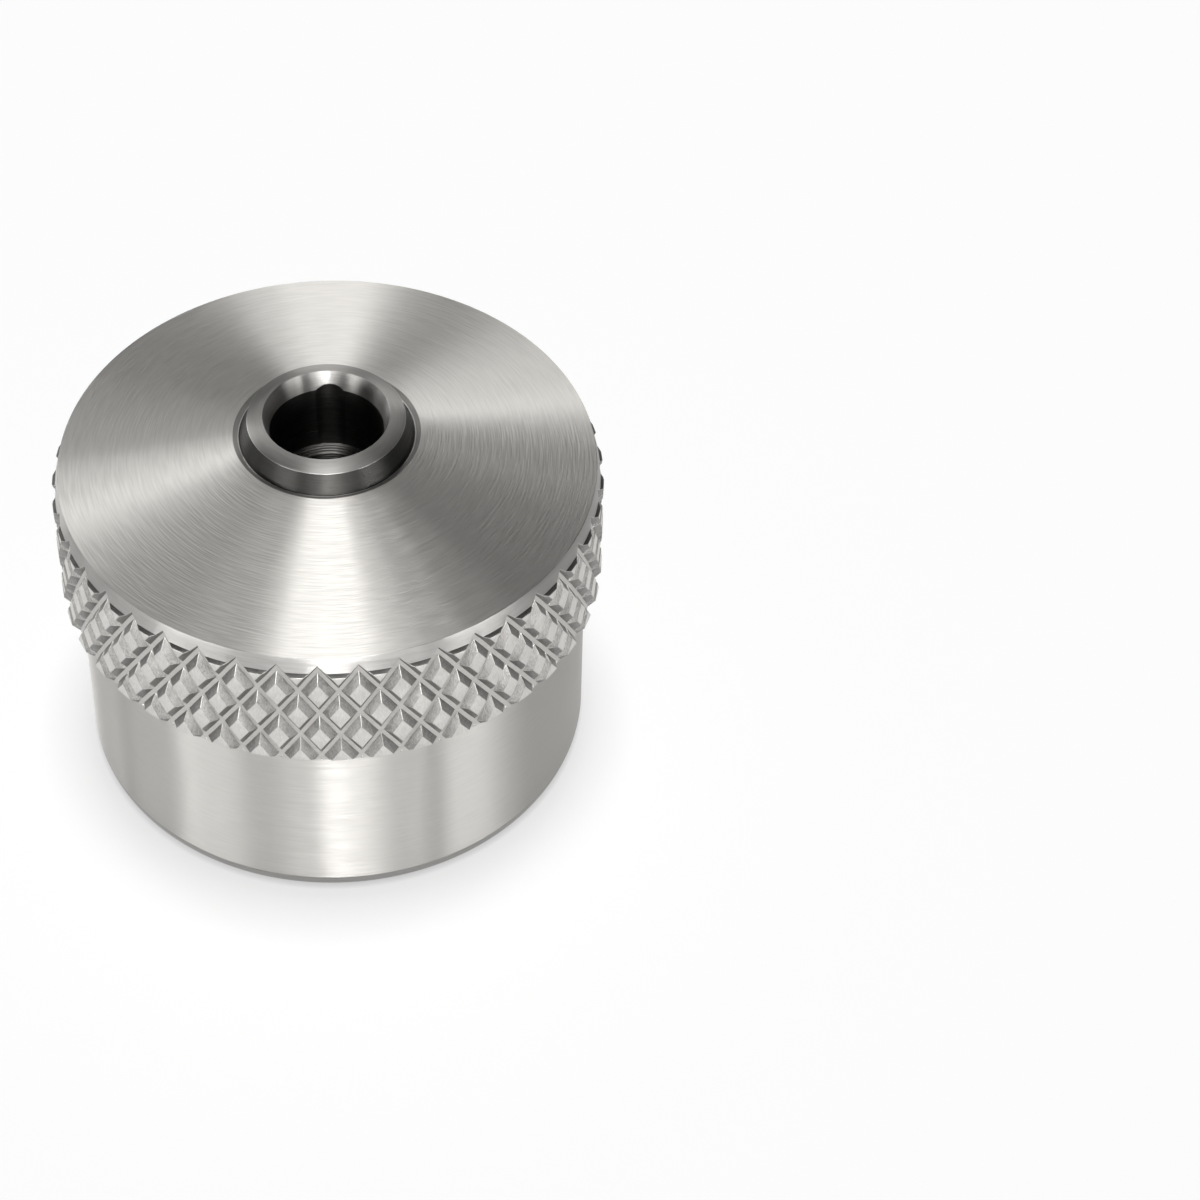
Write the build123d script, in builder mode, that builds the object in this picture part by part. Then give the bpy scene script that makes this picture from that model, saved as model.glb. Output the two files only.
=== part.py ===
"""A knurled thumb nut turned from one bar of metal.

From the bottom it has a plain body with a flat face, a raised diamond knurl,
a smooth rim, a shallow cone and a small boss. The bore starts as a plain
pilot in the boss and steps down to the threaded hole.
"""

import os
from math import cos, pi, radians, sin, sqrt, tan

from build123d import *

# Outside of the turned blank
knurl_d = 32.0             # over the corners of the knurl's flat tops
lead_rise = 1.0            # from the plain body out to the tops of the knurl
rim_drop = 0.42            # from those tops in to the edge of the cone
relief_width = 0.42        # groove round the foot of the boss, out to the edge of the cone
relief_floor = 0.1         # flat floor of that groove, next to the boss

# Lengths along the axis, from the bottom face upwards
edge_chamfer = 0.5         # at the bottom edge, both ways
body_length = 11.75        # bottom face to the foot of the knurl's lead
lead_length = 0.95         # sloping lead from the body out to the knurl
crest_length = 6.85        # full height of the knurl
end_chamfer = 0.2          # small bevel on the last row, both ways
rim_length = 1.0           # smooth rim, from the end bevel to the cone
cone_rise = 2.25
relief_depth = 0.13        # depth of the groove round the boss
boss_height = 1.1          # from the cone's inner edge to the outer edge of the boss's top
boss_taper = 0.45          # how far the boss's wall leans in over its height
boss_crown = 0.3           # rise of the boss's sloping top

# Bore
pilot_d = 6.6              # plain bore inside the boss
pilot_depth = 4.35         # its length below the tapered mouth
mouth_depth = 1.15         # tapered mouth above the pilot
mouth_flare = 0.35         # how much that mouth opens, on the radius
crown_width = 0.9          # the boss's sloping top, from the mouth's edge outwards
thread_minor_d = 5.0       # M6 coarse thread, bored to its minor diameter
thread_entry = 0.6         # chamfer round the hole in the bottom face

# Shallow score that runs down the wall of the pilot
score_depth = 0.11
score_round = 1.7          # radius of the rounded cut
score_angle = 91.0

# Knurl: two crossed sets of grooves leave flat-topped pyramids between them
knurl_count = 43           # pyramids in one row
knurl_helix = 33.2         # angle of a groove to the axis
groove_depth = 0.43
groove_floor = 0.24        # width of a groove's flat floor
groove_side = 41.4         # slope of a groove's side, from the radius
groove_stop = 0.3          # how far the grooves reach up the rim
last_row_gap = 0.2         # from the grooves' end down to the first row
knurl_start = -88.0        # angle of one groove crossing in the first row
overlap = 0.1              # how deep the knurl is set into the core

# Radii that follow from the sizes above
knurl_r = knurl_d / 2
body_r = knurl_r - lead_rise
root_r = knurl_r - groove_depth
rim_foot_r = knurl_r - end_chamfer
rim_r = knurl_r - rim_drop
pilot_r = pilot_d / 2
thread_r = thread_minor_d / 2
mouth_r = pilot_r + mouth_flare
crown_r = mouth_r + crown_width
boss_foot_r = crown_r + boss_taper
relief_floor_r = boss_foot_r + relief_floor
cone_inner_r = boss_foot_r + relief_width

# Heights that follow from the sizes above
crest_bottom = body_length + lead_length
crest_top = crest_bottom + crest_length
rim_bottom = crest_top + end_chamfer
rim_top = rim_bottom + rim_length
cone_top = rim_top + cone_rise
relief_bottom = cone_top - relief_depth
boss_edge = cone_top + boss_height
top = boss_edge + boss_crown
pilot_top = top - mouth_depth
ledge = pilot_top - pilot_depth

# The core under the groove floors, and where the grooves end on the rim
core_r = root_r - overlap
core_start = body_length + lead_length * (core_r - body_r) / lead_rise
groove_end = rim_bottom + groove_stop
groove_end_r = rim_foot_r - (rim_foot_r - rim_r) * groove_stop / rim_length

# The lattice of the knurl
row_angle = 360 / knurl_count
cell_width = 2 * pi * knurl_r / knurl_count
cell_height = cell_width / tan(radians(knurl_helix))
row_step = cell_height / 2
first_row = groove_end - last_row_gap
row_count = 1 + round((first_row - crest_bottom) / row_step)

# The flat top of a pyramid, whose side corners lie on the knurl's diameter
across_width = 1 / cos(radians(knurl_helix))
across_height = 1 / sin(radians(knurl_helix))
side_slope = tan(radians(groove_side))
flat_inset = groove_floor / 2 + groove_depth * side_slope
flat_half_width = cell_width / 2 - flat_inset * across_width
flat_half_height = cell_height / 2 - flat_inset * across_height
flat_r = sqrt(knurl_r**2 - flat_half_width**2)

# The band of the knurl, which trims it to the lead, the end bevel and the rim.
# It stands clear of the flat tops, and its inner side lies inside the core.
with BuildPart() as band:
    clear = overlap * lead_length / lead_rise
    with BuildSketch(Plane.XZ):
        with BuildLine():
            Polyline(
                (core_r - overlap, core_start + overlap),
                (core_r, core_start),
                (knurl_r + overlap, crest_bottom + clear),
                (knurl_r + overlap, crest_top - overlap),
                (rim_foot_r, rim_bottom),
                (groove_end_r, groove_end),
                (core_r - overlap, groove_end + overlap),
                close=True,
            )
        make_face()
    revolve(axis=Axis.Z)

# One pyramid on the +X side: a diamond block with its four upper edges chamfered to its foot
with BuildPart() as pyramid:
    side_rise = flat_r - core_r
    side_inset = side_rise * side_slope
    foot_x = flat_half_width + side_inset * across_width
    foot_y = flat_half_height + side_inset * across_height
    foot_r = core_r - overlap
    with BuildSketch(Plane(origin=(foot_r, 0, 0), x_dir=(0, 1, 0), z_dir=(1, 0, 0))):
        Polygon((foot_x, 0), (0, foot_y), (-foot_x, 0), (0, -foot_y))
    extrude(amount=flat_r - foot_r)
    flat_top = pyramid.faces().sort_by(Axis.X)[-1]
    chamfer(flat_top.edges(), length=side_inset, length2=side_rise, reference=flat_top)

# The whole knurl: groove floors, flat between one line of crossings and the next, and
# rows of pyramids, each turned by half a step from the row above and trimmed to the band
with BuildPart() as knurl:
    with BuildSketch(Plane.XY.offset(body_length)):
        RegularPolygon(root_r, 2 * knurl_count, rotation=knurl_start)
    extrude(amount=groove_end + overlap - body_length)
    for row in range(row_count):
        row_start = knurl_start + row_angle * (row + 1) / 2
        with Locations((0, 0, first_row - row * row_step)):
            with PolarLocations(0, knurl_count, start_angle=row_start):
                add(pyramid.part)
    add(band.part, mode=Mode.INTERSECT)

with BuildPart() as thumb_nut:
    # The turned blank, cut down in the knurl's band, and the knurl round it
    with BuildSketch(Plane.XZ):
        with BuildLine():
            Polyline(
                (thread_r, thread_entry),
                (thread_r + thread_entry, 0),
                (body_r - edge_chamfer, 0),
                (body_r, edge_chamfer),
                (body_r, body_length),
                (core_r, core_start),
                (core_r, groove_end),
                (groove_end_r, groove_end),
                (rim_r, rim_top),
                (cone_inner_r, cone_top),
                (relief_floor_r, relief_bottom),
                (boss_foot_r, relief_bottom),
                (crown_r, boss_edge),
                (mouth_r, top),
                (pilot_r, pilot_top),
                (pilot_r, ledge),
                (thread_r, ledge),
                close=True,
            )
        make_face()
    revolve(axis=Axis.Z)

    add(knurl.part)

    # The score in the pilot's wall, which also marks the tapered mouth
    score_offset = pilot_r + score_depth - score_round
    with BuildSketch(Plane.XY.offset(ledge)):
        with PolarLocations(score_offset, 1, start_angle=score_angle):
            Circle(score_round)
    extrude(amount=top - ledge, mode=Mode.SUBTRACT)

thumb_nut.part.label = "thumb_nut"

os.makedirs("parts", exist_ok=True)
export_step(thumb_nut.part, "parts/thumb_nut.step")
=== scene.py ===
from math import atan2, cos, hypot, pi, radians, sin, sqrt, tan

import bmesh
import bpy
from mathutils import Matrix, Vector


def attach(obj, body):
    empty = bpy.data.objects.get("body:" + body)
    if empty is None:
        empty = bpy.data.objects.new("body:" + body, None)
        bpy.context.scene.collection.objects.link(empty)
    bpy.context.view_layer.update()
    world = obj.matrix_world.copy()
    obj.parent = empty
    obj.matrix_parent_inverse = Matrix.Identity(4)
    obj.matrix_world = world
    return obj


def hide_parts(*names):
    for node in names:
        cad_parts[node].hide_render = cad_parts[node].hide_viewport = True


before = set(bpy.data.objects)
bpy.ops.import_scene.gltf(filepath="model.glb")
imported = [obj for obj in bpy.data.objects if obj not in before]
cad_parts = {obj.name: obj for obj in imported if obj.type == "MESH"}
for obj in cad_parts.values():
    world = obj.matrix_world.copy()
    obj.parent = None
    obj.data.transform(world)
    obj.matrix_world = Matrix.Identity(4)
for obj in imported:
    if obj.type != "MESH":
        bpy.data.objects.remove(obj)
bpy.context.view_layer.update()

# The turned blank of the thumb nut: plain body, rim, shallow cone, boss and bore, all cut on
# the lathe in one piece of stainless bar. Its outline is drawn as one half section and spun,
# and every turned edge is broken a little, as the tool leaves it.

mm = 0.001
body_radius, groove_radius, rim_foot_radius, rim_radius = 15.0, 15.57, 15.6686, 15.58
body_top, groove_end, rim_top, cone_top, boss_edge, boss_top = 11.75, 20.35, 20.75, 23.0, 24.1, 24.4
boss_foot_radius, boss_radius, mouth_radius = 5.0, 4.55, 3.65
pilot_radius, thread_radius, hole_radius = 3.3, 3.05, 2.5
lead_slope = 0.95            # height of the knurl's lead for each mm that it widens
foot_reach, foot_rise = 0.6, 1.0
relief_floor, ledge = 22.87, 18.9
tool_mark = 0.04             # depth of the rings that the boring tool leaves
blank_steps = 344

blank_outline = [
    (body_radius - foot_reach * (1 - sin(radians(turn))), foot_rise * (1 - cos(radians(turn))))
    for turn in range(0, 91, 10)
]                            # flat bottom face and the broken edge round it
blank_outline += [
    (body_radius, body_top),                     # plain body up to the knurl's lead
    (groove_radius, body_top + lead_slope * (groove_radius - body_radius)),
    (groove_radius, groove_end),                 # floor of the knurl's grooves
    (rim_foot_radius, groove_end),
    (rim_radius, rim_top),                       # smooth rim up to the edge of the cone
    (boss_foot_radius + 0.42, cone_top),         # shallow cone in to the groove round the boss
    (boss_foot_radius + 0.1, relief_floor),
    (boss_foot_radius, relief_floor),
    (boss_radius, boss_edge),                    # boss: leaning wall and sloping top
    (mouth_radius, boss_top),
    (3.41, 23.6114),                             # tapered mouth of the bore
    (pilot_radius, 23.25),
    (pilot_radius, 20.05),                       # plain pilot, with one tool mark
    (pilot_radius + tool_mark, 20.0),
    (pilot_radius, 19.95),
    (pilot_radius, ledge),
]
for ring_radius in (3.17, 2.98, 2.77):           # rings that the tool left on the ledge
    blank_outline += [
        (ring_radius + 0.05, ledge), (ring_radius, ledge - tool_mark), (ring_radius - 0.05, ledge),
    ]
blank_outline += [(hole_radius + 0.08, ledge), (hole_radius, ledge - 0.08)]
for ring_height in (18.7, 18.54):                # and in the top of the hole
    blank_outline += [
        (hole_radius, ring_height + tool_mark),
        (hole_radius + tool_mark, ring_height),
        (hole_radius, ring_height - tool_mark),
    ]
blank_outline += [
    (hole_radius, 18.45),
    (thread_radius, 18.0),                       # threaded hole, cut to the bottom of the thread
    (thread_radius, 0.05),
    (thread_radius + 0.05, 0.0),
]


def new_piece(name, mesh_work, materials):
    """A finished mesh object at the origin, with its faces turned outward."""
    bmesh.ops.recalc_face_normals(mesh_work, faces=mesh_work.faces)
    mesh = bpy.data.meshes.new(name)
    mesh_work.to_mesh(mesh)
    mesh_work.free()
    piece = bpy.data.objects.new(name, mesh)
    bpy.context.collection.objects.link(piece)
    for material in materials:
        mesh.materials.append(material)
    for face in mesh.polygons:
        face.use_smooth = True
    mesh.set_sharp_from_angle(angle=radians(50))
    shading = piece.modifiers.new("even_shading", "WEIGHTED_NORMAL")
    shading.keep_sharp = True
    shading.weight = 100
    return piece


def turned_metal(name, color, roughness, anisotropy, line_bump, shade_range=0.07):
    """Bright metal with the fine circular lines that the lathe tool leaves.

    The lines change the color by the shade range, and tilt the surface by the line bump.
    """
    material = bpy.data.materials.new(name)
    material.use_nodes = True
    tree = material.node_tree
    nodes, links = tree.nodes, tree.links
    shader = nodes["Principled BSDF"]
    shader.inputs["Metallic"].default_value = 1.0
    shader.inputs["Anisotropic"].default_value = anisotropy
    shader.inputs["Anisotropic Rotation"].default_value = 0.25
    place = nodes.new("ShaderNodeTexCoord")
    parts = nodes.new("ShaderNodeSeparateXYZ")
    links.new(place.outputs["Object"], parts.inputs[0])

    flat = nodes.new("ShaderNodeCombineXYZ")
    links.new(parts.outputs["X"], flat.inputs["X"])
    links.new(parts.outputs["Y"], flat.inputs["Y"])
    radius = nodes.new("ShaderNodeVectorMath")
    radius.operation = "LENGTH"
    links.new(flat.outputs[0], radius.inputs[0])
    around = nodes.new("ShaderNodeVectorMath")
    around.operation = "NORMALIZE"
    links.new(flat.outputs[0], around.inputs[0])

    # Position across the tool lines, which grows with the radius on a face and with the
    # height on a wall
    height_share = 1.37
    slope = nodes.new("ShaderNodeMath")
    slope.operation = "MULTIPLY_ADD"
    slope.inputs[1].default_value = height_share
    links.new(parts.outputs["Z"], slope.inputs[0])
    links.new(radius.outputs["Value"], slope.inputs[2])

    def lines(across, along):
        """Short arcs round the axis, so many a metre across the lines and along them."""
        scaled = nodes.new("ShaderNodeMath")
        scaled.operation = "MULTIPLY"
        scaled.inputs[1].default_value = across
        links.new(slope.outputs[0], scaled.inputs[0])
        stretched = nodes.new("ShaderNodeVectorMath")
        stretched.operation = "SCALE"
        stretched.inputs["Scale"].default_value = along
        links.new(flat.outputs[0], stretched.inputs[0])
        split = nodes.new("ShaderNodeSeparateXYZ")
        links.new(stretched.outputs[0], split.inputs[0])
        where = nodes.new("ShaderNodeCombineXYZ")
        links.new(split.outputs["X"], where.inputs["X"])
        links.new(split.outputs["Y"], where.inputs["Y"])
        links.new(scaled.outputs[0], where.inputs["Z"])
        arcs = nodes.new("ShaderNodeTexNoise")
        arcs.inputs["Scale"].default_value = 1.0
        arcs.inputs["Detail"].default_value = 0.0
        links.new(where.outputs[0], arcs.inputs["Vector"])
        return arcs.outputs["Fac"]

    broad_share = 0.6
    both = nodes.new("ShaderNodeMath")
    both.operation = "MULTIPLY_ADD"
    both.inputs[1].default_value = broad_share
    links.new(lines(6500.0, 500.0), both.inputs[0])
    links.new(lines(14000.0, 700.0), both.inputs[2])

    def from_lines(low, high):
        """A value that the lines move between the low one and the high one."""
        spread_out = nodes.new("ShaderNodeMapRange")
        spread_out.inputs["From Min"].default_value = 0.5
        spread_out.inputs["From Max"].default_value = 1.1
        spread_out.inputs["To Min"].default_value = low
        spread_out.inputs["To Max"].default_value = high
        links.new(both.outputs[0], spread_out.inputs["Value"])
        return spread_out.outputs[0]

    tint = nodes.new("ShaderNodeVectorMath")
    tint.operation = "SCALE"
    tint.inputs[0].default_value = color
    links.new(from_lines(1.0 - shade_range, 1.0 + shade_range), tint.inputs["Scale"])
    links.new(tint.outputs[0], shader.inputs["Base Color"])
    links.new(from_lines(roughness - 0.03, roughness + 0.03), shader.inputs["Roughness"])

    line_depth = 0.000018
    relief = nodes.new("ShaderNodeBump")
    relief.inputs["Strength"].default_value = line_bump
    relief.inputs["Distance"].default_value = line_depth
    links.new(both.outputs[0], relief.inputs["Height"])
    links.new(relief.outputs[0], shader.inputs["Normal"])

    along_line = nodes.new("ShaderNodeVectorMath")
    along_line.operation = "CROSS_PRODUCT"
    along_line.inputs[0].default_value = (0.0, 0.0, 1.0)
    links.new(around.outputs[0], along_line.inputs[1])
    links.new(along_line.outputs[0], shader.inputs["Tangent"])
    return material


work = bmesh.new()
ring = [work.verts.new((r * mm, 0.0, h * mm)) for r, h in blank_outline]
ring_edges = [work.edges.new((ring[i - 1], ring[i])) for i in range(len(ring))]
bmesh.ops.spin(
    work, geom=ring + ring_edges, cent=(0, 0, 0), axis=(0, 0, 1), dvec=(0, 0, 0),
    angle=2 * pi, steps=blank_steps, use_merge=True, use_normal_flip=False, use_duplicate=False,
)
bmesh.ops.remove_doubles(work, verts=work.verts, dist=1e-7)
bmesh.ops.recalc_face_normals(work, faces=work.faces)


def is_turned_edge(edge):
    """True for a circle on the blank at which the outline turns by more than 12 degrees."""
    low, high = edge.verts
    same_height = abs(low.co.z - high.co.z) < 1e-7
    above_thread = low.co.z > 0.0002 or hypot(low.co.x, low.co.y) > 0.004
    off_seam = abs(low.co.z - groove_end * mm) > 1e-6
    return same_height and above_thread and off_seam and edge.calc_face_angle(0) > radians(12)


edge_break = 0.00004
turned_edges = [edge for edge in work.edges if is_turned_edge(edge)]
bmesh.ops.bevel(
    work, geom=turned_edges, offset=edge_break, offset_type="OFFSET", segments=2, profile=0.5,
    affect="EDGES", clamp_overlap=True, material=-1,
)

# The shallow score that runs down the wall of the pilot and nicks the mouth. The mouth's
# foot is cut into thin rings first, so that the nick there has a round end
score_round, score_reach, score_angle = 0.0017, 0.00341, radians(91)
score_centre = score_reach - score_round
mouth_foot, mouth_middle, mouth_half = 0.02325, 0.0235, 0.00055
ring_count, ring_step = 15, 0.000025


def is_mouth(face):
    """True for a face of the bore's tapered mouth."""
    middle = face.calc_center_median()
    return abs(middle.z - mouth_middle) < mouth_half and hypot(middle.x, middle.y) < 0.0037


for k in range(1, ring_count + 1):
    mouth = [face for face in work.faces if is_mouth(face)]
    around_mouth = dict.fromkeys(item for face in mouth for item in (*face.verts, *face.edges))
    bmesh.ops.bisect_plane(
        work, geom=mouth + list(around_mouth), dist=1e-8, plane_co=(0, 0, mouth_foot + ring_step * k),
        plane_no=(0, 0, 1),
    )
for vert in work.verts:
    radius = hypot(vert.co.x, vert.co.y)
    turn = atan2(vert.co.y, vert.co.x) - score_angle
    off = score_round**2 - (score_centre * sin(turn)) ** 2
    if vert.co.z > (ledge + 0.05) * mm and radius < 0.0036 and cos(turn) > 0 and off > 0:
        cut = score_centre * cos(turn) + sqrt(off)
        if cut > radius > 0.003:
            vert.co.x *= cut / radius
            vert.co.y *= cut / radius


def blank_finish(face):
    """The name of a turned face's finish, told by where its middle lies on the blank."""
    middle = face.calc_center_median() / mm
    radius, height = hypot(middle.x, middle.y), middle.z
    # Painted highlight: the broken edge round the top of the boss takes the brighter rim finish, for a
    # thin bright line along it
    lip_highlight = hypot(height - boss_edge, radius - boss_radius) < 0.04
    if lip_highlight or groove_end + 0.01 < height < rim_top + 0.01:
        return "rim"
    if height > 23.2 and radius < mouth_radius + 0.05 and abs(face.normal.z) > 0.1:
        return "mouth"
    if height > boss_edge:
        return "ring"
    if relief_floor + 0.01 < height < cone_top - 0.02 and 5.1 < radius < 5.4:
        return "ring"
    # Painted shade: the boss's wall and its foot in the groove get a near-black copy of the steel, for the
    # shade on them
    if height > relief_floor - 0.01 and boss_radius < radius < boss_foot_radius + 0.08:
        return "boss"
    # Painted shade: the ledge and the pilot inside the bore get darker copies of the steel, for the shade
    # down the hole
    on_ledge = abs(height - ledge + 0.02) < 0.06 and radius < pilot_radius + 0.1
    if height > 18.4 and (on_ledge or radius < hole_radius + 0.4):
        return "ledge"
    if radius < pilot_radius + 0.13:
        return "bore"
    if height < body_top:
        # Painted shade: the rounded foot gets a darker copy of the body's steel, for the dark band where
        # the nut meets the paper
        return "body" if height > foot_rise else "foot"
    return "groove" if 12.2 < height < groove_end + 0.01 and radius < groove_radius + 0.03 else "cone"


blank_metals = {
    "cone": turned_metal("cone_metal", (0.49, 0.478, 0.455), 0.36, 1.0, 0.8),
    "ring": turned_metal("ring_metal", (0.26, 0.254, 0.243), 0.4, 0.85, 0.4),
    # painted shade on the boss wall
    "boss": turned_metal("boss_wall_painted_shade", (0.048, 0.047, 0.0445), 0.42, 0.8, 0.8),
    # painted shade inside the bore, darkest on the pilot, lighter on the ledge below
    "bore": turned_metal("bore_painted_shade", (0.05, 0.049, 0.047), 0.36, 0.8, 0.8),
    "ledge": turned_metal("ledge_painted_shade", (0.14, 0.137, 0.13), 0.3, 0.9, 0.6),
    "groove": turned_metal("groove_metal", (0.46, 0.45, 0.43), 0.42, 0.3, 0.4),
    "rim": turned_metal("rim_metal", (0.37, 0.362, 0.35), 0.38, 0.93, 0.5),
    "body": turned_metal("body_metal", (0.465, 0.454, 0.434), 0.36, 1.0, 0.3, 0.04),
    # painted shade along the foot
    "foot": turned_metal("foot_painted_shade", (0.3, 0.294, 0.284), 0.3, 0.6, 0.3, 0.04),
    "mouth": turned_metal("mouth_metal", (0.29, 0.283, 0.272), 0.38, 0.85, 0.4),
}
blank_finishes = list(blank_metals)
work.normal_update()
for face in work.faces:
    face.material_index = blank_finishes.index(blank_finish(face))
for edge in work.edges:
    sides = {face.material_index for face in edge.link_faces}
    edge.smooth = len(sides) == 1
blank = new_piece("blank", work, blank_metals.values())
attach(blank, "root")
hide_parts("thumb_nut")

# The thread in the bore: one right-handed ridge that winds up from the bottom face to the
# ledge, cut in the nut's own metal. Its section is drawn once and spun upward by one pitch
# a turn, and both its ends are cut flush.

thread_pitch, thread_turns, thread_turn_steps = 1.0, 21, 48
thread_start, thread_top, thread_entry = -1.0, 18.3, 0.6
thread_section = [
    (thread_radius + 0.1, -0.48),
    (thread_radius, -0.44),
    (hole_radius, -0.125),
    (hole_radius, 0.125),
    (thread_radius, 0.44),
    (thread_radius + 0.1, 0.48),
]

work = bmesh.new()
ring = [work.verts.new((r * mm, 0.0, (h + thread_start) * mm)) for r, h in thread_section]
ring_edges = [work.edges.new((ring[i - 1], ring[i])) for i in range(len(ring))]
bmesh.ops.spin(
    work, geom=ring + ring_edges, cent=(0, 0, 0), axis=(0, 0, 1),
    dvec=(0, 0, thread_pitch * mm / thread_turn_steps), angle=2 * pi * thread_turns,
    steps=thread_turns * thread_turn_steps, use_merge=False, use_normal_flip=False, use_duplicate=False,
)
for height, outward in ((0.0, -1), (thread_top * mm, 1)):
    everything = work.verts[:] + work.edges[:] + work.faces[:]
    cut = bmesh.ops.bisect_plane(
        work, geom=everything, dist=1e-8, plane_co=(0, 0, height), plane_no=(0, 0, outward),
        clear_outer=True, clear_inner=False,
    )
    rim = [item for item in cut["geom_cut"] if isinstance(item, bmesh.types.BMEdge)]
    bmesh.ops.edgeloop_fill(work, edges=rim)
for vert in work.verts:
    # The ridge fades out at the bottom face, where a screw enters
    radius = hypot(vert.co.x, vert.co.y)
    entry = hole_radius * mm + max(0.0, thread_entry * mm - vert.co.z)
    if radius < entry:
        vert.co.x *= entry / radius
        vert.co.y *= entry / radius
# Painted shade: the thread gets a dark copy of the steel, for the shade deep in the bore
thread_painted_shade = turned_metal("thread_painted_shade", (0.2, 0.196, 0.19), 0.4, 0.3, 0.6)
thread = new_piece("thread", work, [thread_painted_shade])
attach(thread, "root")

# The knurl: crossed grooves rolled into the blank, which leave flat-topped pyramids with
# crisp edges. Each row is modelled flat as one pyramid, cut to the blank's slopes, copied
# round the nut and bent to its radius.

knurl_count = 43
crest_radius, root_radius, rim_low_radius = 0.01599, groove_radius * mm, 0.0158
lead_top, facet_low, rim_start = 0.0127, 0.01955, 0.01975
knurl_low, knurl_end = body_top * mm, groove_end * mm
helix = radians(33.2)
cell_width = 2 * pi * crest_radius / knurl_count
cell_height = cell_width / tan(helix)
groove_floor, groove_side = 0.00024, radians(41.4)
first_row = 0.01985
groove_depth = crest_radius - root_radius
foot_sink = 0.00015          # how far each pyramid's foot is let into the blank


def flat_pyramid(extra):
    """One closed pyramid in flat space: X round the nut, Y up, Z outward from the groove floor.

    It is made taller by twice the extra, from the same lower corner.
    """
    pyramid = bmesh.new()
    half_height = cell_height / 2 - groove_floor / 2 / sin(helix) + extra
    half_width = half_height * tan(helix)
    bmesh.ops.create_circle(pyramid, cap_ends=True, cap_tris=False, segments=4, radius=1.0)
    bmesh.ops.scale(pyramid, vec=(half_width, half_height, 1.0), verts=pyramid.verts)
    bmesh.ops.translate(pyramid, vec=(0, extra, 0), verts=pyramid.verts)
    bmesh.ops.recalc_face_normals(pyramid, faces=pyramid.faces)
    if pyramid.faces[:][0].normal.z < 0:
        bmesh.ops.reverse_faces(pyramid, faces=pyramid.faces)
    lifted = bmesh.ops.extrude_face_region(pyramid, geom=pyramid.faces[:], use_keep_orig=True)
    top = [item for item in lifted["geom"] if isinstance(item, bmesh.types.BMFace)]
    bottom = [face for face in pyramid.faces if face not in top and abs(face.normal.z) > 0.9]
    sunk = {vert for face in bottom for vert in face.verts}
    bmesh.ops.translate(pyramid, vec=(0, 0, -foot_sink), verts=list(sunk))
    pyramid.normal_update()
    bmesh.ops.inset_region(
        pyramid, faces=top, thickness=groove_depth * tan(groove_side), depth=groove_depth,
        use_even_offset=True, use_boundary=True,
    )
    bmesh.ops.recalc_face_normals(pyramid, faces=pyramid.faces)
    return pyramid


def trim(pyramid, point, outward):
    """Cuts away what lies beyond a plane and closes the cut."""
    everything = pyramid.verts[:] + pyramid.edges[:] + pyramid.faces[:]
    cut = bmesh.ops.bisect_plane(
        pyramid, geom=everything, dist=1e-8, plane_co=point, plane_no=outward, clear_outer=True,
        clear_inner=False,
    )
    rim = [item for item in cut["geom_cut"] if isinstance(item, bmesh.types.BMEdge)]
    if rim:
        bmesh.ops.edgeloop_fill(pyramid, edges=rim)


lead_face = Vector((0, -1.0, lead_slope)).normalized()
facet_face = Vector((0, 1.0, 1.0)).normalized()
rim_face = Vector((0, 0.22, 1.0)).normalized()


def blank_slopes(height, on_rim):
    """The planes that cut a pyramid, round its row's height: those of the rim or of the knurl."""
    up, down = Vector((0, 1.0, 0)), Vector((0, -1.0, 0))
    left = ((-cell_width / 2, 0, 0), Vector((-1.0, 0, 0)))
    right = ((cell_width / 2, 0, 0), Vector((1.0, 0, 0)))
    if on_rim:
        rim = ((0, rim_start - height, rim_low_radius - root_radius), rim_face)
        return left, right, rim, ((0, knurl_end - height, 0), up), ((0, rim_start - height, 0), down)
    lead = ((0, lead_top - height, groove_depth), lead_face)
    facet = ((0, facet_low - height, groove_depth), facet_face)
    return left, right, lead, facet, ((0, rim_start - height, 0), up), ((0, knurl_low - height, 0), down)


def is_crest(edge, height):
    """True for an edge that the rolls leave crisp, and not for one on the pyramid's hidden ends."""
    if min(vert.co.z for vert in edge.verts) < -foot_sink / 2 or not edge.is_manifold:
        return False
    on_end = all(abs(vert.co.y + height - knurl_end) < 1e-7 for vert in edge.verts)
    on_end = on_end or all(abs(vert.co.y + height - rim_start) < 1e-7 for vert in edge.verts)
    on_side = all(abs(abs(vert.co.x) - cell_width / 2) < 1e-7 for vert in edge.verts)
    return not on_end and not on_side and edge.calc_face_angle(0) > radians(20)


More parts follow.
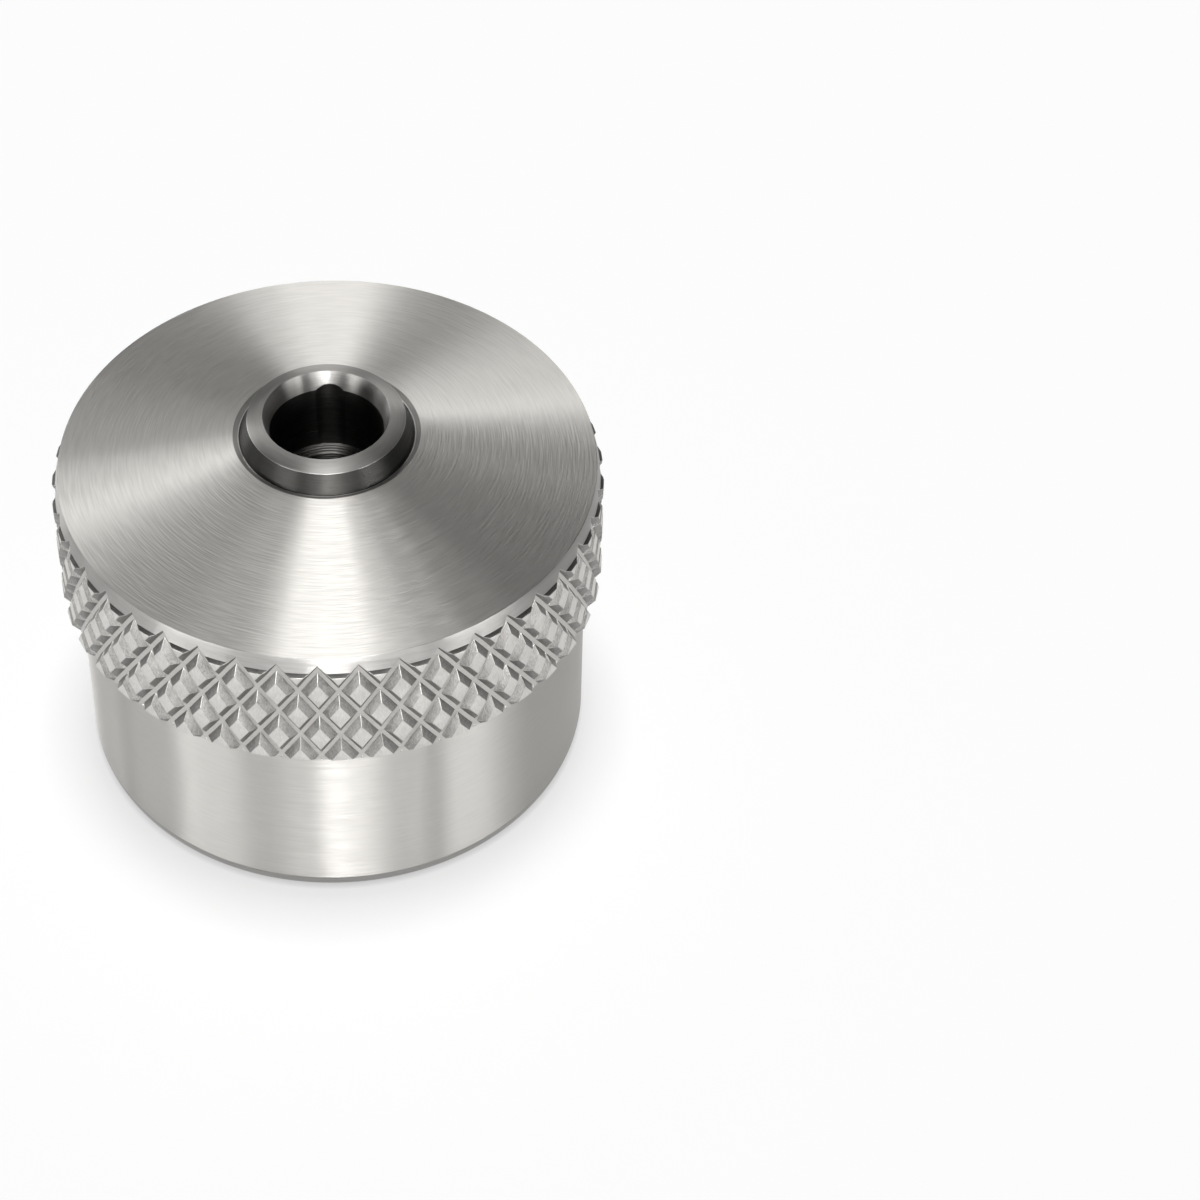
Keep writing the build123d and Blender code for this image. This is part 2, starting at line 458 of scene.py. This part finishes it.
def rolled_metal(name, color, roughness, grain, relief_depth):
    """Metal that the knurling rolls have pressed: a fine hatch that runs down each face."""
    material = bpy.data.materials.new(name)
    material.use_nodes = True
    nodes, links = material.node_tree.nodes, material.node_tree.links
    shader = nodes["Principled BSDF"]
    shader.inputs["Metallic"].default_value = 1.0
    shader.inputs["Roughness"].default_value = roughness
    place = nodes.new("ShaderNodeTexCoord")

    def mottle(scale, detail):
        """Uneven spots, so many a metre round, across and up."""
        stretch = nodes.new("ShaderNodeVectorMath")
        stretch.operation = "MULTIPLY"
        stretch.inputs[1].default_value = scale
        links.new(place.outputs["Object"], stretch.inputs[0])
        spots = nodes.new("ShaderNodeTexNoise")
        spots.inputs["Scale"].default_value = 1.0
        spots.inputs["Detail"].default_value = detail
        spots.inputs["Roughness"].default_value = 0.6
        links.new(stretch.outputs[0], spots.inputs["Vector"])
        return spots.outputs["Fac"]

    cloud_share = 0.7
    hatch = mottle((14000.0, 14000.0, 3500.0), 2.0)
    cloud = mottle((900.0, 900.0, 900.0), 2.0)
    both = nodes.new("ShaderNodeMath")
    both.operation = "MULTIPLY_ADD"
    both.inputs[1].default_value = cloud_share
    links.new(cloud, both.inputs[0])
    links.new(hatch, both.inputs[2])
    shade = nodes.new("ShaderNodeMapRange")
    shade.inputs["From Min"].default_value = 0.55
    shade.inputs["From Max"].default_value = 1.15
    shade.inputs["To Min"].default_value = 1.0 - grain
    shade.inputs["To Max"].default_value = 1.0 + grain
    links.new(both.outputs[0], shade.inputs["Value"])
    tint = nodes.new("ShaderNodeVectorMath")
    tint.operation = "SCALE"
    tint.inputs[0].default_value = color
    links.new(shade.outputs[0], tint.inputs["Scale"])
    links.new(tint.outputs[0], shader.inputs["Base Color"])
    relief = nodes.new("ShaderNodeBump")
    relief.inputs["Strength"].default_value = 1.0
    relief.inputs["Distance"].default_value = relief_depth
    links.new(hatch, relief.inputs["Height"])
    links.new(relief.outputs[0], shader.inputs["Normal"])
    return material


knurl_metals = {
    "flat": rolled_metal("knurl_flat", (0.54, 0.53, 0.51), 0.5, 0.14, 0.00002),
    # Painted shade: the walls and the lead are a darker copy of the same rolled metal as the flats
    "wall": rolled_metal("knurl_wall_painted_shade", (0.2, 0.196, 0.188), 0.5, 0.35, 0.00003),
    # Painted shade: the facet where the grooves run out under the rim is near black, for the dark
    # crescents there
    "end_bevel": rolled_metal("knurl_end_bevel_painted_shade", (0.08, 0.078, 0.075), 0.5, 0.3, 0.00002),
    "rim": blank_metals["rim"],
    # Painted highlight: the broken crests are brighter than the walls, for thin light lines along them
    "edge": rolled_metal("knurl_edge_painted_highlight", (0.4, 0.39, 0.375), 0.35, 0.1, 0.00001),
}
knurl_finishes = list(knurl_metals)


def knurl_finish(normal):
    """The name of a face's finish, told by the way it faces on the flat pyramid."""
    if normal.z > 0.9995:
        return "flat"
    if normal.dot(facet_face) > 0.999:
        return "end_bevel"
    if normal.dot(rim_face) > 0.999:
        return "rim"
    wall = Vector((cos(groove_side) * cos(helix), cos(groove_side) * sin(helix), sin(groove_side)))
    if Vector((abs(normal.x), abs(normal.y), normal.z)).dot(wall) > 0.999 or normal.dot(lead_face) > 0.999:
        return "wall"
    return "edge" if normal.z > 0.2 else "wall"


crest_break, first_turn = 0.000018, radians(-88.0)
work = bmesh.new()
for row, on_rim in ((0, True), (0, False), (1, False), (2, False), (3, False), (4, False), (5, False)):
    height = first_row - row * cell_height / 2
    pyramid = flat_pyramid(groove_floor / 2 / sin(helix) + 0.0005 if row == 0 else 0.0)
    for point, outward in blank_slopes(height, on_rim):
        trim(pyramid, point, outward)
    bmesh.ops.bevel(
        pyramid, geom=[edge for edge in pyramid.edges if is_crest(edge, height)], offset=crest_break,
        offset_type="OFFSET", segments=2, profile=0.5, affect="EDGES", clamp_overlap=True, material=-1,
    )
    bmesh.ops.recalc_face_normals(pyramid, faces=pyramid.faces)
    highest = max(pyramid.faces, key=lambda face: face.calc_center_median().z)
    if highest.normal.z < 0:
        bmesh.ops.reverse_faces(pyramid, faces=pyramid.faces)
    for face in pyramid.faces:
        face.material_index = knurl_finishes.index(knurl_finish(face.normal))
    for part in (-0.5, 0.0, 0.5):
        bmesh.ops.bisect_plane(
            pyramid, geom=pyramid.verts[:] + pyramid.edges[:] + pyramid.faces[:], dist=1e-8,
            plane_co=(part * cell_width / 2, 0, 0), plane_no=(1, 0, 0),
        )
    for vert in pyramid.verts:
        turn = vert.co.x / crest_radius + first_turn + pi / knurl_count * (row + 1)
        radius = root_radius + vert.co.z
        vert.co = Vector((radius * cos(turn), radius * sin(turn), height + vert.co.y))
    bmesh.ops.spin(
        pyramid, geom=pyramid.verts[:] + pyramid.edges[:] + pyramid.faces[:], cent=(0, 0, 0),
        axis=(0, 0, 1), dvec=(0, 0, 0), angle=2 * pi * (knurl_count - 1) / knurl_count,
        steps=knurl_count - 1, use_merge=False, use_normal_flip=False, use_duplicate=True,
    )
    row_mesh = bpy.data.meshes.new("row")
    pyramid.to_mesh(row_mesh)
    pyramid.free()
    work.from_mesh(row_mesh)
    bpy.data.meshes.remove(row_mesh)
wander_rate, wander_reach, lead_low = 700.0, 0.00002, 0.0123


def wander(place):
    """A smooth uneven offset, as the rolls leave each groove a little out of true."""
    x, y, z = place * wander_rate
    return wander_reach * Vector((
        sin(3.1 * y + 2.3 * z) * cos(2.2 * x + 0.4),
        sin(2.6 * z + 1.9 * x) * cos(3.3 * y + 1.1),
        sin(2.9 * x + 2.7 * y) * cos(1.7 * z + 2.5),
    ))


for vert in work.verts:
    # Nothing comes outside the crests, and the rim above and the start of the lead stay true
    radius = hypot(vert.co.x, vert.co.y)
    share = min(1.0, max(0.0, min(rim_start - vert.co.z, vert.co.z - lead_low) / 0.0003))
    vert.co += wander(vert.co) * share
    trued = radius / hypot(vert.co.x, vert.co.y)
    vert.co.x *= trued
    vert.co.y *= trued
highlight_edge_finish = knurl_finishes.index("edge")
for edge in work.edges:
    sides = {face.material_index for face in edge.link_faces}
    edge.smooth = len(sides) < 2 or highlight_edge_finish in sides
knurl = new_piece("knurl", work, knurl_metals.values())
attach(knurl, "root")

# The table top: one flat sheet of plain white paper, on which the nut stands. It keeps the nut's
# soft shadow, with a thin line of painted shade where the two touch, and shows white to the camera.

table_half_width = 1.5
white_share, white, contact_shade, contact_reach = 0.75, 0.985, 0.6, 0.0004

work = bmesh.new()
bmesh.ops.create_grid(work, x_segments=1, y_segments=1, size=table_half_width)
table_mesh = bpy.data.meshes.new("table_top")
work.to_mesh(table_mesh)
work.free()
table_top = bpy.data.objects.new("table_top", table_mesh)
bpy.context.collection.objects.link(table_top)
paper = bpy.data.materials.new("white_paper")
paper.use_nodes = True
paper_nodes, paper_links = paper.node_tree.nodes, paper.node_tree.links
paper_shader = paper_nodes["Principled BSDF"]
paper_shader.inputs["Base Color"].default_value = (0.96, 0.96, 0.96, 1)
paper_shader.inputs["Roughness"].default_value = 1.0
paper_shader.inputs["Specular IOR Level"].default_value = 0.0
glow = paper_nodes.new("ShaderNodeEmission")
# Painted shade: close to the nut the white glow is dimmed by ambient occlusion, which draws the dark line
# where the two touch
contact = paper_nodes.new("ShaderNodeAmbientOcclusion")
contact.samples = 8
contact.inputs["Distance"].default_value = contact_reach
painted_contact_shade = paper_nodes.new("ShaderNodeMapRange")
painted_contact_shade.inputs["To Min"].default_value = contact_shade
painted_contact_shade.inputs["To Max"].default_value = white
paper_links.new(contact.outputs["AO"], painted_contact_shade.inputs["Value"])
paper_links.new(painted_contact_shade.outputs[0], glow.inputs["Strength"])
paper_path = paper_nodes.new("ShaderNodeLightPath")
seen = paper_path.outputs["Is Camera Ray"]
for kind in ("Is Glossy Ray", "Is Transmission Ray"):
    either = paper_nodes.new("ShaderNodeMath")
    either.operation = "MAXIMUM"
    paper_links.new(seen, either.inputs[0])
    paper_links.new(paper_path.outputs[kind], either.inputs[1])
    seen = either.outputs[0]
share = paper_nodes.new("ShaderNodeMath")
share.operation = "MULTIPLY"
share.inputs[1].default_value = white_share
paper_links.new(seen, share.inputs[0])
whiten = paper_nodes.new("ShaderNodeMixShader")
paper_links.new(share.outputs[0], whiten.inputs[0])
paper_links.new(paper_shader.outputs[0], whiten.inputs[1])
paper_links.new(glow.outputs[0], whiten.inputs[2])
paper_links.new(whiten.outputs[0], paper_nodes["Material Output"].inputs["Surface"])
table_mesh.materials.append(paper)

# The studio light: the room is dark, and softboxes stand round the nut in tiers, from the
# height of the table to right above it. Each makes one band of light on the turned metal.

world = bpy.data.worlds.new("dark_room")
bpy.context.scene.world = world
world.use_nodes = True
room = world.node_tree.nodes["Background"]
room.inputs["Strength"].default_value = 0.0


def softbox(name, azimuth, elevation, spread, rise, brightness, distance=0.5):
    """A soft lamp that faces the nut and lights only the metal.

    Its azimuth, elevation, spread and rise are in degrees, as the nut sees them.
    """
    across = 2 * distance * tan(radians(spread / 2))
    along = 2 * distance * tan(radians(rise / 2))
    lamp = bpy.data.lights.new(name, "AREA")
    lamp.shape = "RECTANGLE"
    lamp.size, lamp.size_y = across, along
    lamp.energy = brightness * pi * across * along
    holder = bpy.data.objects.new(name, lamp)
    holder.visible_diffuse = False
    holder.visible_camera = False
    bpy.context.collection.objects.link(holder)
    turn, lift = radians(azimuth), radians(elevation)
    outward = Vector((cos(lift) * cos(turn), cos(lift) * sin(turn), sin(lift)))
    upward = Vector((-sin(lift) * cos(turn), -sin(lift) * sin(turn), cos(lift)))
    sideways = upward.cross(outward)
    frame_of_lamp = Matrix((sideways, upward, outward)).transposed().to_4x4()
    aim = Vector((0, 0, 0.012))
    holder.matrix_world = Matrix.Translation(outward * distance + aim) @ frame_of_lamp
    return holder


# The one lamp that lights the paper, and so makes the nut's shadow
fill = softbox("fill", 90, 86, 13, 13, 61.0, 1.5)
fill.visible_diffuse = True
fill.visible_glossy = False
for place, azimuth, elevation, spread, rise, brightness in (
    ("floor_left", -160, 2, 24, 8, 5.5),
    ("floor_left_strip", -144, 2, 8, 8, 22.0),
    ("floor_front_left", -116, 2, 16, 8, 5.5),
    ("floor_front_right", -56, 2, 8, 8, 11.5),
    ("floor_right", -32, 2, 8, 8, 15.5),
    ("floor_far_right", -16, 2, 8, 8, 4.0),
    ("low_far_left", 176, 14, 8, 16, 4.0),
    ("low_left", -132, 14, 16, 16, 10.5),
    ("low_front_left", -100, 14, 16, 16, 3.0),
    ("low_front", -88, 14, 8, 16, 29.0),
    ("low_front_beside", -80, 14, 8, 16, 15.5),
    ("low_front_right", -68, 14, 16, 16, 5.0),
    ("low_right", -40, 14, 8, 16, 14.0),
    ("low_far_right", -24, 14, 8, 16, 8.5),
    ("low_side_right", 40, 11, 6, 20, 1.2),
    ("low_back_right", 64, 11, 6, 20, 3.0),
    ("low_back", 97, 11, 12, 20, 3.0),
    ("low_back_left", 148, 11, 18, 20, 5.0),
    ("middle_back_right", 67, 31, 10, 20, 0.6),
    ("middle_back_beside", 79, 31, 10, 20, 3.0),
    ("middle_back", 94, 31, 5, 20, 1.2),
    ("middle_back_left", 124, 31, 15, 20, 0.8),
    ("middle_far_left", 151, 31, 10, 20, 4.0),
    ("upper_front_left", -104, 40, 3, 26, 19.5),
    ("upper_front_right", -72, 40, 3, 26, 24.0),
    ("high_back_right", 64, 51, 5, 20, 2.5),
    ("high_back", 100, 51, 10, 20, 3.0),
    ("high_back_left", 128, 51, 5, 20, 4.0),
    ("top_front_left", -126, 66, 15, 20, 1.2),
    ("top_front", -90, 66, 15, 20, 4.0),
    ("top", 0, 88, 28, 28, 2.7),
):
    softbox(place, azimuth, elevation, spread, rise, brightness)

# The camera stands in front and a little to the right, and looks steeply down on the nut
# through a long lens. It leans slightly, as in a picture taken by hand.

camera_data = bpy.data.cameras.new("camera")
camera_data.lens = 107.51
camera_data.sensor_width = 36.0
camera_data.clip_start = 0.001
camera_place = Vector((0.015978, -0.147804, 0.166387))
camera = bpy.data.objects.new("camera", camera_data)
bpy.context.collection.objects.link(camera)
pitch, roll = radians(46.673), radians(1.8368)
ahead = Vector((0.0, cos(pitch), -sin(pitch)))
level_up = Vector((0.0, sin(pitch), cos(pitch)))
level_right = Vector((1.0, 0.0, 0.0))
right = cos(roll) * level_right + sin(roll) * level_up
up = -sin(roll) * level_right + cos(roll) * level_up
turn_to = Matrix((right, up, -ahead)).transposed().to_4x4()
camera.matrix_world = Matrix.Translation(camera_place) @ turn_to
bpy.context.scene.camera = camera
bpy.context.scene.view_settings.view_transform = "Standard"
